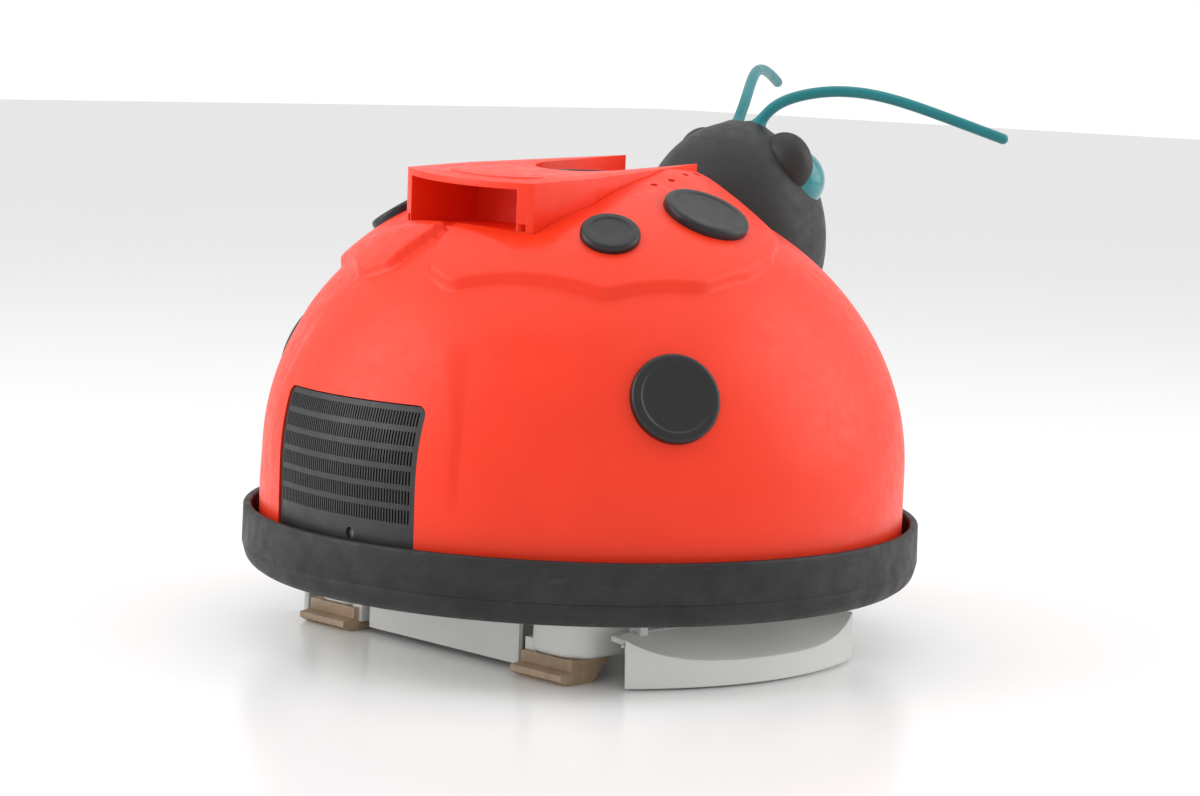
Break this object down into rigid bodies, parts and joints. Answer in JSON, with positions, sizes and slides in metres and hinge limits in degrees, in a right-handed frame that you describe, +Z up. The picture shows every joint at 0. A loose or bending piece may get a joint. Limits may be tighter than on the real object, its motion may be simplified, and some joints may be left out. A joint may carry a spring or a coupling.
{
  "type": "pool cleaner",
  "caption": "Walking suction pool cleaner styled as a ladybird, with a round bumper, turbine-driven pods on shoes, flaps and a swivel hose cone.",
  "frame": {"origin": "on the floor, below the middle of the whole outline, antennas included; the body's own axis stands 22.5 mm behind it (+Y)", "axes": "+Z up, the head looks along -Y, the cleaner's own right side is -X"},
  "size_m": [0.35, 0.3926, 0.2979],
  "materials": {
    "shell_red": "satin orange-red moulded plastic",
    "bumper_rubber": "matt black rubber, lightly scuffed",
    "black_plastic": "satin black moulded plastic",
    "head_black": "soft satin black",
    "spot_black": "satin black",
    "teal": "glossy teal",
    "teal_rubber": "teal flexible rubber, slight sheen",
    "white_plastic": "white moulded plastic",
    "wing_plastic": "off-white flexible plastic",
    "shoe_rubber": "tan urethane",
    "olive_plastic": "olive-brown engineering plastic",
    "bearing_plastic": "natural acetal",
    "turbine_plastic": "white moulded plastic",
    "gear_plastic": "natural acetal gear",
    "smoky_plastic": "translucent smoky purple plastic",
    "steel": "stainless"
  },
  "bodies": {
    "chassis": {"top_shell": "shell_red", "handle_hood": "shell_red", "bumper_ring": "bumper_rubber", "rear_grille": "black_plastic", "head": "head_black", "brow_r": "head_black", "brow_l": "head_black", "eye_r": "teal", "eye_l": "teal", "antenna_r": "teal_rubber", "antenna_l": "teal_rubber", "spot_side_r": "spot_black", "spot_side_l": "spot_black", "spot_rear_r": "spot_black", "spot_rear_l": "spot_black", "spot_front_r": "spot_black", "spot_front_l": "spot_black", "lower_body": "white_plastic", "middle_body": "white_plastic", "turbine_bearing_r": "bearing_plastic", "turbine_bearing_l": "bearing_plastic", "frame_pins": "steel", "wing_pins": "steel", "skirt_pins": "steel", "cone_bushing": "bearing_plastic", "gear_axle": "steel", "shell_screws": "steel", "case_screws": "steel"},
    "drive_turbine": {"turbine_rotor": "turbine_plastic", "turbine_shaft": "steel", "eccentric_r": "olive_plastic", "eccentric_l": "olive_plastic"},
    "a_frame_r": {"a_frame_r": "olive_plastic"},
    "a_frame_l": {"a_frame_l": "olive_plastic"},
    "pod_r": {"pod_r": "white_plastic", "pod_pin_r": "steel", "shoe_front_r": "shoe_rubber", "shoe_rear_r": "shoe_rubber"},
    "pod_l": {"pod_l": "white_plastic", "pod_pin_l": "steel", "shoe_front_l": "shoe_rubber", "shoe_rear_l": "shoe_rubber"},
    "wing_r": {"wing_r": "wing_plastic"},
    "wing_l": {"wing_l": "wing_plastic"},
    "skirt_front": {"skirt_front": "wing_plastic"},
    "skirt_rear": {"skirt_rear": "wing_plastic"},
    "hose_cone": {"hose_cone": "smoky_plastic", "cone_gear": "gear_plastic"},
    "reduction_gear": {"reduction_gear": "gear_plastic"},
    "steer_turbine": {"steer_turbine": "turbine_plastic", "steer_shaft": "steel", "steer_pinion": "gear_plastic"}
  },
  "joints": [
    {"name": "turbine_spin", "type": "hinge", "parent": "chassis", "child": "drive_turbine", "pos_m": [0, 0.0225, 0.1], "axis": [1, 0, 0], "continuous": true},
    {"name": "frame_r_swing", "type": "hinge", "parent": "chassis", "child": "a_frame_r", "pos_m": [-0.07, 0.0225, 0.07], "axis": [1, 0, 0], "range_deg": [-7, 7]},
    {"name": "frame_l_swing", "type": "hinge", "parent": "chassis", "child": "a_frame_l", "pos_m": [0.07, 0.0225, 0.07], "axis": [1, 0, 0], "range_deg": [-7, 7]},
    {"name": "pod_r_rock", "type": "hinge", "parent": "a_frame_r", "child": "pod_r", "pos_m": [-0.082, 0.0225, 0.028], "axis": [1, 0, 0], "range_deg": [-7, 7]},
    {"name": "pod_l_rock", "type": "hinge", "parent": "a_frame_l", "child": "pod_l", "pos_m": [0.082, 0.0225, 0.028], "axis": [1, 0, 0], "range_deg": [-7, 7]},
    {"name": "wing_r_flap", "type": "hinge", "parent": "chassis", "child": "wing_r", "pos_m": [-0.11, 0.0225, 0.024], "axis": [0, 1, 0], "range_deg": [0, 22]},
    {"name": "wing_l_flap", "type": "hinge", "parent": "chassis", "child": "wing_l", "pos_m": [0.11, 0.0225, 0.024], "axis": [0, -1, 0], "range_deg": [0, 22]},
    {"name": "skirt_rear_flap", "type": "hinge", "parent": "chassis", "child": "skirt_rear", "pos_m": [0, 0.1145, 0.039], "axis": [1, 0, 0], "range_deg": [-20, 45]},
    {"name": "skirt_front_flap", "type": "hinge", "parent": "chassis", "child": "skirt_front", "pos_m": [0, -0.0695, 0.039], "axis": [-1, 0, 0], "range_deg": [-20, 45]},
    {"name": "cone_swivel", "type": "hinge", "parent": "chassis", "child": "hose_cone", "pos_m": [0, 0.0275, 0.22], "axis": [0, 0, 1], "continuous": true},
    {"name": "reduction_spin", "type": "hinge", "parent": "chassis", "child": "reduction_gear", "pos_m": [0.03, 0.0275, 0.2005], "axis": [1, 0, 0], "continuous": true},
    {"name": "steer_spin", "type": "hinge", "parent": "chassis", "child": "steer_turbine", "pos_m": [0, 0.0425, 0.1805], "axis": [1, 0, 0], "continuous": true}
  ],
  "couplings": [
    {"joint": "reduction_spin", "follows": "cone_swivel", "ratio": -4},
    {"joint": "steer_spin", "follows": "cone_swivel", "ratio": 16},
    {"joint": "frame_l_swing", "follows": "frame_r_swing", "ratio": -1},
    {"joint": "pod_r_rock", "follows": "frame_r_swing", "ratio": -1},
    {"joint": "pod_l_rock", "follows": "frame_r_swing", "ratio": 1}
  ]
}
